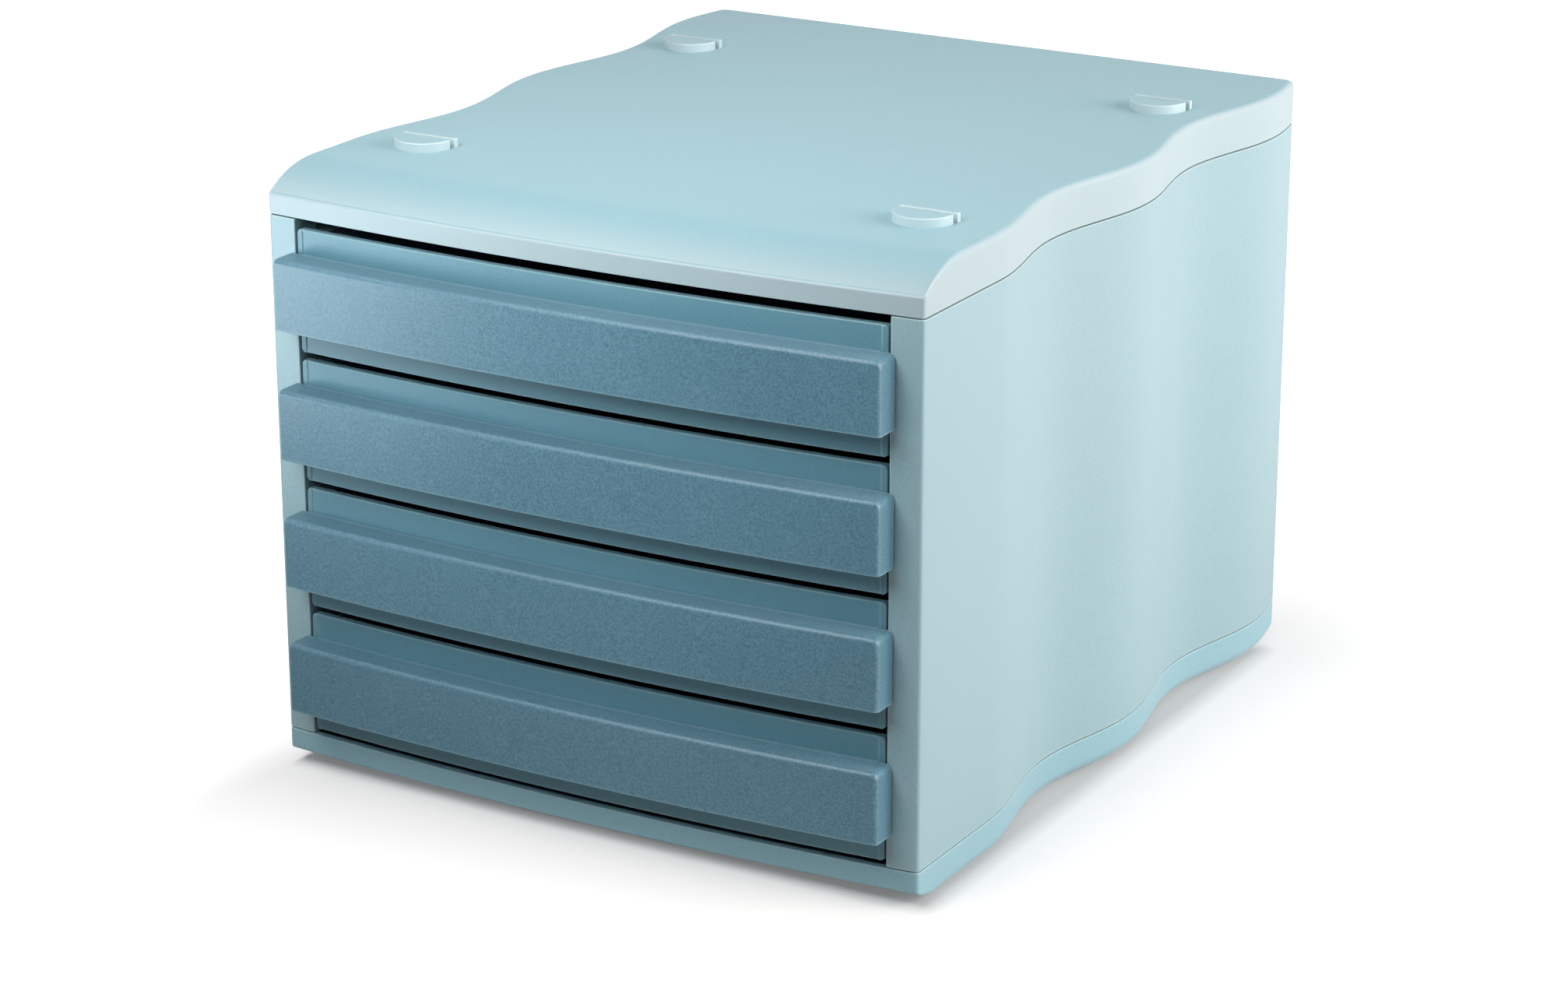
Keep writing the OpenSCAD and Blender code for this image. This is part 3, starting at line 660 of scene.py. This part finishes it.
# %% Runners and rails
NUMBERS = (1, 2, 3, 4)          # drawer 1 is at the top
PANEL_H, PITCH, PANEL_LOW = 49.7, 52.75, 2.4
FLANGE_LOW, FLANGE_T = 41.35, 2.0
SHELF_X, SHELF_FROM, RUNNER_END, RAIL_END = 125.0, 5.0, 326.0, 64.0
RUNNER, RAIL = (-2.5, -0.3), (0.6, 2.8)     # heights under a flange and over it


def drawer_low(number):
    """Height of the lower edge of a drawer front."""
    return BASE_TOP + PANEL_LOW + (len(NUMBERS) - number) * PITCH


def shelf_part(low, high, end):
    """A shelf from its straight edge at SHELF_X out to the middle of the waved wall."""
    rows = [SHELF_FROM] + [y for y in stations if SHELF_FROM + 1.0 < y < end] + [end]
    points, faces = pillow(1, len(rows) - 1, 2)
    return [((1.0, rows[r], SKIN / 2) if c else (0.0, rows[r], 0.0),
             ((low, high)[k], 0.0, 0.0), 0.0 if c else SHELF_X) for c, r, k in points], faces


shelves = []
for number in NUMBERS:
    flange = drawer_low(number) - BASE_TOP + FLANGE_LOW
    shelves.append(shelf_part(flange + RUNNER[0], flange + RUNNER[1], RUNNER_END))
    shelves.append(shelf_part(flange + FLANGE_T + RAIL[0], flange + FLANGE_T + RAIL[1], RAIL_END))
wall_h = COVER_LOW - BASE_TOP
for name, side in (("side_left", -1.0), ("side_right", 1.0)):
    mesh = shaped(blank_of("Wall blank", [wall_part()] + shelves), waved, wall_plastic,
                  {"Level": BASE_TOP, "Side": side, "Height": wall_h, "Lip height": wall_h,
                   "Nose length": 1.0, "Edge radius": 0.0, "Lip edge radius": 0.0})
    finished(mesh, name + "_wall", "cabinet", [name])

# %% [markdown]
# ## Back panel
# The back is a plain flat plate that slides in behind the side walls' ribs. The CAD node has
# exactly that shape, so it stays and only gets the plastic.

# %% Back panel
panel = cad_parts["back_panel"]
for material_slot in panel.material_slots:
    material_slot.material = case_plastic
low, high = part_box("back_panel")
print("back panel:", [round(1000 * value, 1) for value in high - low], "mm")

# %% [markdown]
# ## Drawers
# A drawer is one moulding: a front plate bowed like the case, a tray with rounded rear
# corners, and flanges that hang on the runners. At each end of the front a narrow rim stands
# 0.35 mm proud of a flat field, and all its edges are just broken, which draws the thin light
# line beside each black gap. The four drawers are alike, so one set of functions makes them,
# each at its own height.

# %% Depth on the bowed face
def round_off(t, r):
    """How much a rounding of radius r takes away at a distance t from its end."""
    return 0.0 if t >= r else r - math.sqrt(max(0.0, r * r - (r - t) ** 2))


def face_y(x, depth):
    """Where a line at a depth behind the face of the case lies, in case millimetres."""
    return ARC - BOW - math.sqrt((ARC - depth) ** 2 - x * x)


PANEL_HALF, PANEL_FRONT, PANEL_BACK, PANEL_R = 130.1, 0.4, 3.5, 1.8
BROKEN = 0.45                   # radius of the broken edges

# %% Front plate
RIM, FIELD, FIELD_IN = 1.9, 0.35, 2.6       # width of a rim, how deep the field lies, its start
FIELD_COLUMNS, PLATE_ROWS = 44, 4
end_steps = [PANEL_R * (1 - math.cos(math.radians(a))) for a in (0, 20, 40, 60, 75, 90)]
plate_t = [(t, 0.0) for t in end_steps] + [(RIM, 0.03), (RIM + 0.2, 0.17), (RIM + 0.4, 0.32),
                                           (RIM + 0.5, FIELD)]
inner = [(-PANEL_HALF + FIELD_IN + i * (2 * PANEL_HALF - 2 * FIELD_IN) / FIELD_COLUMNS)
         for i in range(FIELD_COLUMNS + 1)]
plate_x = ([(-PANEL_HALF + t, sunk) for t, sunk in plate_t] + [(x, FIELD) for x in inner]
           + [(PANEL_HALF - t, sunk) for t, sunk in reversed(plate_t)])
plate_levels = [(PANEL_BACK, 0.0)] + [(None, a) for a in (0, 30, 60, 90)]


def plate_part(low):
    points, faces = pillow(len(plate_x) - 1, PLATE_ROWS, len(plate_levels))
    result = []
    for c, r, k in points:
        x, sunk = plate_x[c]
        fixed, a = plate_levels[k]
        turn = math.radians(a)
        inset = BROKEN * (1 - math.cos(turn)) if fixed is None else 0.0
        depth = fixed if fixed else PANEL_FRONT + sunk + BROKEN * (1 - math.sin(turn))
        cut = round_off(PANEL_HALF - abs(x), PANEL_R)
        x *= (PANEL_HALF - inset) / PANEL_HALF
        z = low + cut + inset + (PANEL_H - 2 * cut - 2 * inset) * r / PLATE_ROWS
        result.append((x, face_y(x, depth), z))
    return result, faces


# %% Tray
TRAY_HALF, TRAY_BACK, TRAY_LOW, TRAY_R, TRAY_T = 124.0, 330.0, 2.5, 8.0, 2.0
FLOOR_R = 1.5                   # where the floor meets the walls, inside and outside
BOWED, TRAY_COLUMNS = 12.0, 24  # the tray's front rows follow the bow up to here
tray_rows = ([0.0, 1.0, 4.0, BOWED] + spread(BOWED, TRAY_BACK - TRAY_R, 16)[:-1]
             + [TRAY_BACK - TRAY_R * (1 - math.cos(math.radians(a)))
                for a in (90, 75, 60, 45, 30, 15, 0)])
tray_top = FLANGE_LOW + FLANGE_T
# Each level is (inset, height): up the outside, over the rim, and down the inside.
tray_levels = ([(FLOOR_R * inset, TRAY_LOW + FLOOR_R * up) for inset, up in ROUND]
               + [(0, tray_top - 0.4), (0.12, tray_top - 0.12), (0.4, tray_top),
                  (TRAY_T - 0.4, tray_top), (TRAY_T - 0.12, tray_top - 0.12),
                  (TRAY_T, tray_top - 0.4)]
               + [(TRAY_T + FLOOR_R * inset, TRAY_LOW + TRAY_T + FLOOR_R * up)
                  for up, inset in ROUND])


def tray_part(low):
    points, faces = pillow(TRAY_COLUMNS, len(tray_rows) - 1, len(tray_levels))
    result = []
    for c, r, k in points:
        inset, height = tray_levels[k]
        share, base_y = 2 * c / TRAY_COLUMNS - 1, tray_rows[r]
        left = TRAY_BACK - base_y
        x = share * (TRAY_HALF - inset - round_off(left, TRAY_R) * (TRAY_R - inset) / TRAY_R)
        if left <= TRAY_R:
            y = TRAY_BACK - inset - left * (TRAY_R - inset) / TRAY_R
        elif base_y < BOWED:
            # The front wall runs into the plate, and the rows behind it fan out to the walls.
            y = face_y(x, 3.0 + min(inset, 1.0) * 0.6) + base_y * 0.5 + inset * 0.2
        else:
            y = base_y
        result.append((x, y, low + height))
    return result, faces


# %% Flanges with their stop ears
STRIP = [(123.2, 3.0), (130.3, 2.6), (130.3, 322.0), (123.2, 322.0)]
EAR = [(129.8, 254.3), (132.2, 254.3), (132.2, 259.3), (129.8, 268.3)]
FLANGE_EDGE = 0.15


def flange_parts(low):
    under, over = low + FLANGE_LOW, low + FLANGE_LOW + FLANGE_T
    levels = [(under, FLANGE_EDGE), (under + FLANGE_EDGE, 0.0), (over - FLANGE_EDGE, 0.0),
              (over, FLANGE_EDGE)]
    left = [[(-x, y) for x, y in reversed(outline)] for outline in (STRIP, EAR)]
    return [prism(outline, levels) for outline in [STRIP, EAR] + left]


for number in NUMBERS:
    low = drawer_low(number)
    mesh = mesh_of(f"Drawer {number}", [plate_part(low), tray_part(low)] + flange_parts(low))
    finished(mesh, f"drawer_{number}_tray", f"drawer_body_{number}", [f"drawer_{number}"],
             drawer_plastic)

# %% [markdown]
# ## Handles
# Each handle is a bar that bows with the front and laps over the frame at both ends. It is
# hollow behind and open below, so that fingers reach up behind it. Its top front edge and
# its top right corner are well rounded, its upright end edges less, and its lower edge is
# only broken. The left end is tighter than the right one all round. The bar is a pillow whose
# levels step along it from the left end to the right: one column from the hollow's skin to
# the outer skin, rows round the section. Where a level lies inside an end wall, the hollow's
# skin moves out to the section's free edges, which closes the end.

# %% Section of a handle
HANDLE_HALF, REACH, GAP, HANDLE_H, HANDLE_T = 133.2, 11.95, 0.6, 28.7, 2.4
TOP_R, FRONT_R, END_R, LOWER_R, HANDLE_LOW = 2.8, 2.0, 1.7, 0.35, 11.3
HOLLOW_R, HOLLOW_EDGE = 1.0, 0.4            # where its walls meet, and at their lower edge
LEFT_END = 0.4                  # share of the right end's radii that the left end has
BACK_ROWS = 11                  # rows of a closed level that go down the open back
section = ([("top", i / 4) for i in range(5)]
           + [("round", a) for a in (11, 22, 34, 45, 56, 68, 79)]
           + [("front", i / 5) for i in range(6)] + [("lower", a) for a in (30, 60, 90)])


def outer_point(kind, t, dropped, drawn):
    """Distance in front of the face, and height, of a point on the outer skin."""
    top, front = HANDLE_H - dropped, REACH - drawn
    if kind == "top":
        return GAP + (front - FRONT_R - GAP) * t, top
    if kind == "round":
        a = math.radians(t)
        return front - FRONT_R * (1 - math.sin(a)), top - FRONT_R * (1 - math.cos(a))
    if kind == "front":
        return front, top - FRONT_R - (top - FRONT_R - LOWER_R) * t
    a = math.radians(t)
    return front - LOWER_R * (1 - math.cos(a)), LOWER_R * (1 - math.sin(a))


def hollow_point(row):
    """A point on the hollow's skin: back to front under the top, then down the front wall."""
    kind, t = section[row]
    ceiling, wall = HANDLE_H - HANDLE_T, REACH - HANDLE_T
    if kind == "top":
        return GAP + (wall - HOLLOW_R - GAP) * t, ceiling
    if kind == "round":
        a = math.radians(t)
        return wall - HOLLOW_R * (1 - math.sin(a)), ceiling - HOLLOW_R * (1 - math.cos(a))
    if kind == "front":
        return wall, ceiling - HOLLOW_R - (ceiling - HOLLOW_R - HOLLOW_EDGE) * t
    return wall, HOLLOW_EDGE * (1 - t / 90)


def closed_point(row, dropped, drawn):
    """The same row on the free edges of the section: down the back, then forward below."""
    top, front = HANDLE_H - dropped, REACH - drawn
    if row < BACK_ROWS:
        return GAP, top * (1 - (row + 1) / BACK_ROWS) if row else top - 0.4
    forward = row + 1 - BACK_ROWS
    return GAP + (front - LOWER_R - 0.3 - GAP) * forward / (len(section) - BACK_ROWS), 0.0


# %% Handle bars
BAR_STEPS, BAR_END = 44, 4.0    # even steps along the bar, between the rows of its ends
steps = sorted({radius * (1 - math.cos(math.radians(a))) for radius, angles in
                ((TOP_R, (0, 12, 24, 36, 48, 60, 70, 80, 90)), (END_R, (30, 60, 75, 90)))
                for a in angles})
# Levels as (distance from the end, whether they lie in the end wall)
ends = [(t, True) for t in steps if t < HANDLE_T] + [(HANDLE_T, True), (HANDLE_T, False)]
ends += [(t, False) for t in steps if t > HANDLE_T] + [(BAR_END, False)]
bar_levels = ([(-HANDLE_HALF + t, solid) for t, solid in ends]
              + [(x, False) for x in spread(-HANDLE_HALF + BAR_END, HANDLE_HALF - BAR_END,
                                            BAR_STEPS)[:-1]]
              + [(HANDLE_HALF - t, solid) for t, solid in reversed(ends)])


def bar_part(low):
    points, faces = pillow(1, len(section) - 1, len(bar_levels))
    result = []
    for c, r, k in points:
        x, solid = bar_levels[k]
        left = HANDLE_HALF - abs(x)
        corner = 1.0 if x > 0 else LEFT_END
        dropped, drawn = round_off(left, TOP_R * corner), round_off(left, END_R * corner)
        if c:
            out, height = outer_point(*section[r], dropped, drawn)
        elif solid:
            out, height = closed_point(r, dropped, drawn)
        else:
            out, height = hollow_point(r)
        result.append((x, face_y(x, -out), low + height))
    return result, faces


BRIDGE_HALF, BRIDGE_DEPTHS = 127.0, (-1.2, 1.7)
BRIDGE_LEVELS = (HANDLE_H - HANDLE_T, HANDLE_H - 0.02)


def bridge_part(low):
    """The flange that joins the bar's top to the drawer front between the rims."""
    points, faces = pillow(BAR_STEPS, 1, 2)
    places = [((2 * c / BAR_STEPS - 1) * BRIDGE_HALF, r, k) for c, r, k in points]
    return [(x, face_y(x, BRIDGE_DEPTHS[r]), low + BRIDGE_LEVELS[k]) for x, r, k in places], faces


for number in NUMBERS:
    low = drawer_low(number) + HANDLE_LOW
    mesh = mesh_of(f"Handle {number}", [bar_part(low), bridge_part(low)])
    finished(mesh, f"handle_{number}_bar", f"drawer_body_{number}", [f"handle_{number}"],
             handle_plastic)

# %% [markdown]
# ## Studio
# The photograph has a pure white ground and one soft shadow, which is darkest in a narrow
# band where the cabinet all but touches the ground. The floor is white paper. Where the
# camera looks straight at it, it also glows a little, and the glow grows with the distance
# from the cabinet, faster on the left: lit paper reaches white, the weak glow near the
# cabinet paints a shadow round it on top of the real one, and the faster glow on the left
# paints out the real shadow that falls there. Reflections see a glow of their own, stronger
# to the back and to the right, where the bright part of the room was. The world does the
# same for the backdrop.

# %% Which ray looks
def rays(tree):
    """What a formula calls the kinds of rays."""
    kinds = add(tree, "ShaderNodeLightPath").outputs
    return {"camera": kinds["Is Camera Ray"], "glossy": kinds["Is Glossy Ray"],
            "clear": kinds["Is Transmission Ray"]}


# %% Floor
FLOOR_HALF = 8.0
EDGE_X, EDGE_Y, FASTER = 0.142, 0.152, 3    # where the glow starts to grow, in metres
# The glow is weakest at the cabinet, which paints a shadow round it; the gains lift it to white
# further out, and sooner on the left, which paints out the real shadow there.
GLOW = 0.17
GAINS = ((0.25, 0.01), (0.2, 0.1), (0.45, 0.6))     # what is gained, and over how many metres
floor_mesh = bpy.data.meshes.new("floor")
floor_mesh.from_pydata([(x * FLOOR_HALF, y * FLOOR_HALF, 0) for x, y in
                        ((-1, -1), (1, -1), (1, 1), (-1, 1))], [], [(0, 1, 2, 3)])
floor = placed("floor", floor_mesh)
paper = bpy.data.materials.new("White paper sweep")
tree = emptied(paper)
spot = add(tree, "ShaderNodeSeparateXYZ",
           [add(tree, "ShaderNodeTexCoord").outputs["Object"]]).outputs
known = {**rays(tree), "x": spot["X"], "y": spot["Y"],
         "back": add(tree, "ShaderNodeNewGeometry").outputs["Backfacing"]}
gained = " + ".join(f"{gain} * min(1, away / {metres})" for gain, metres in GAINS)
for name, text in {
        "across": f"max(0, abs(x) - {EDGE_X}) * (1 + {FASTER} * below(x, 0))",
        "along": f"max(0, abs(y) - {EDGE_Y})",
        "away": "sqrt(across * across + along * along)",
        "mirrored": "max(0.05, min(1.2, 0.2 + 0.8 * x + 1.0 * y))",
        "seen": f"camera * ({GLOW} + {gained}) + max(glossy, clear) * mirrored",
        "under": "camera * back"}.items():
    known[name] = formula(tree, text, known)
matt = add(tree, "ShaderNodeBsdfDiffuse", {"Color": linear("#bcbcbc")})
glow = add(tree, "ShaderNodeEmission", {"Color": (1, 1, 1, 1), "Strength": known["seen"]})
both = add(tree, "ShaderNodeAddShader", [matt.outputs[0], glow.outputs[0]])
# Seen from below, the paper lets the camera through to the underside of the cabinet.
through = add(tree, "ShaderNodeBsdfTransparent")
sheet = add(tree, "ShaderNodeMixShader", [known["under"], both.outputs[0], through.outputs[0]])
add(tree, "ShaderNodeOutputMaterial", {"Surface": sheet.outputs[0]})
floor_mesh.materials.append(paper)
print("glow of the paper at the cabinet and far from it:", GLOW,
      round(GLOW + sum(gain for gain, metres in GAINS), 2))

# %% Backdrop
world = bpy.data.worlds.new("White room")
bpy.context.scene.world = world
tree = emptied(world)
known = rays(tree)
looking = add(tree, "ShaderNodeTexCoord").outputs["Generated"]
known["y"] = add(tree, "ShaderNodeSeparateXYZ", [looking]).outputs["Y"]
known["behind"] = formula(tree, "max(0, min(1, 0.5 + y * 0.7))", known)
strength = formula(tree, "0.07 + 0.13 * behind"
                   " + max(glossy, clear) * (0.1 + 0.75 * behind * behind) + camera * 1.1", known)
room = add(tree, "ShaderNodeBackground", {"Color": linear("#eef8ff"), "Strength": strength})
add(tree, "ShaderNodeOutputWorld", {"Surface": room.outputs[0]})


# %% [markdown]
# The photograph's light can be read from the object. The right side is the brightest, so a
# large, slightly warm soft box stands on the right, with a lower one behind it for the rear
# of that side. A wide one overhead lights the top evenly. The front is darker and cooler and
# falls off from its upper left to its lower right, so a small bluish box hangs close to it
# in front, and a smaller one stands low on its left. A warm one above brightens the cover's
# curved nose. These three have a narrow spread, so that little of them reaches the floor.

# %% Soft boxes
def soft_box(name, place, target, size, power, spread=180, colour=(1.0, 0.98, 0.96)):
    """A lamp as wide and high as size in metres, of power in watts, aimed at target."""
    lamp = bpy.data.lights.new(name, "AREA")
    lamp.spread = math.radians(spread)
    lamp.color = colour
    lamp.shape, lamp.size, lamp.size_y, lamp.energy = "RECTANGLE", size[0], size[1], power
    box = placed(name, lamp)
    box.location = place
    box.rotation_euler = (Vector(target) - Vector(place)).to_track_quat("-Z", "Y").to_euler()


SIDE_AIM = (0.14, 0.0, 0.12)
soft_box("Right box", (1.25, 0.2, 0.55), SIDE_AIM, (0.8, 0.9), 17.6, colour=(1.03, 0.98, 0.94))
soft_box("Back right box", (1.0, 1.1, 0.35), SIDE_AIM, (1.2, 0.6), 3.8)
soft_box("Top box", (-0.1, 0.3, 1.5), (0.0, 0.0, 0.2), (1.4, 1.4), 4.1)
soft_box("Upper front box", (-0.05, -0.60, 0.58), (-0.02, -0.16, 0.25), (0.45, 0.35), 0.55,
         spread=70, colour=(0.98, 1.05, 1.09))
soft_box("Lower left box", (-0.40, -0.40, 0.14), (-0.12, -0.16, 0.26), (0.2, 0.15), 0.135,
         spread=60, colour=(0.95, 1.08, 1.14))
soft_box("Nose box", (-0.3, -0.55, 1.0), (0.0, -0.15, 0.25), (0.6, 0.5), 0.64,
         spread=60, colour=(1.10, 0.97, 0.88))
print(len(bpy.data.lights), "lamps of",
      round(sum(lamp.energy for lamp in bpy.data.lights), 1), "W in all")

# %% [markdown]
# ## Camera
# The place and the lens were worked out from the corners of the cabinet in the photograph:
# a long lens from 1.7 m away, turned 30 degrees to the right and 19 degrees above level.

# %% Camera
AZIMUTH, ELEVATION = math.radians(30.11), math.radians(19.0)
lens = bpy.data.cameras.new("Camera")
lens.lens, lens.sensor_width = 94.5, 36.0
camera = placed("Camera", lens)
camera.location = (0.802, -1.39235, 0.646)
aim = Vector((-math.sin(AZIMUTH) * math.cos(ELEVATION), math.cos(AZIMUTH) * math.cos(ELEVATION),
              -math.sin(ELEVATION)))
camera.rotation_euler = aim.to_track_quat("-Z", "Y").to_euler()
bpy.context.scene.camera = camera
bpy.context.scene.view_settings.view_transform = "Standard"
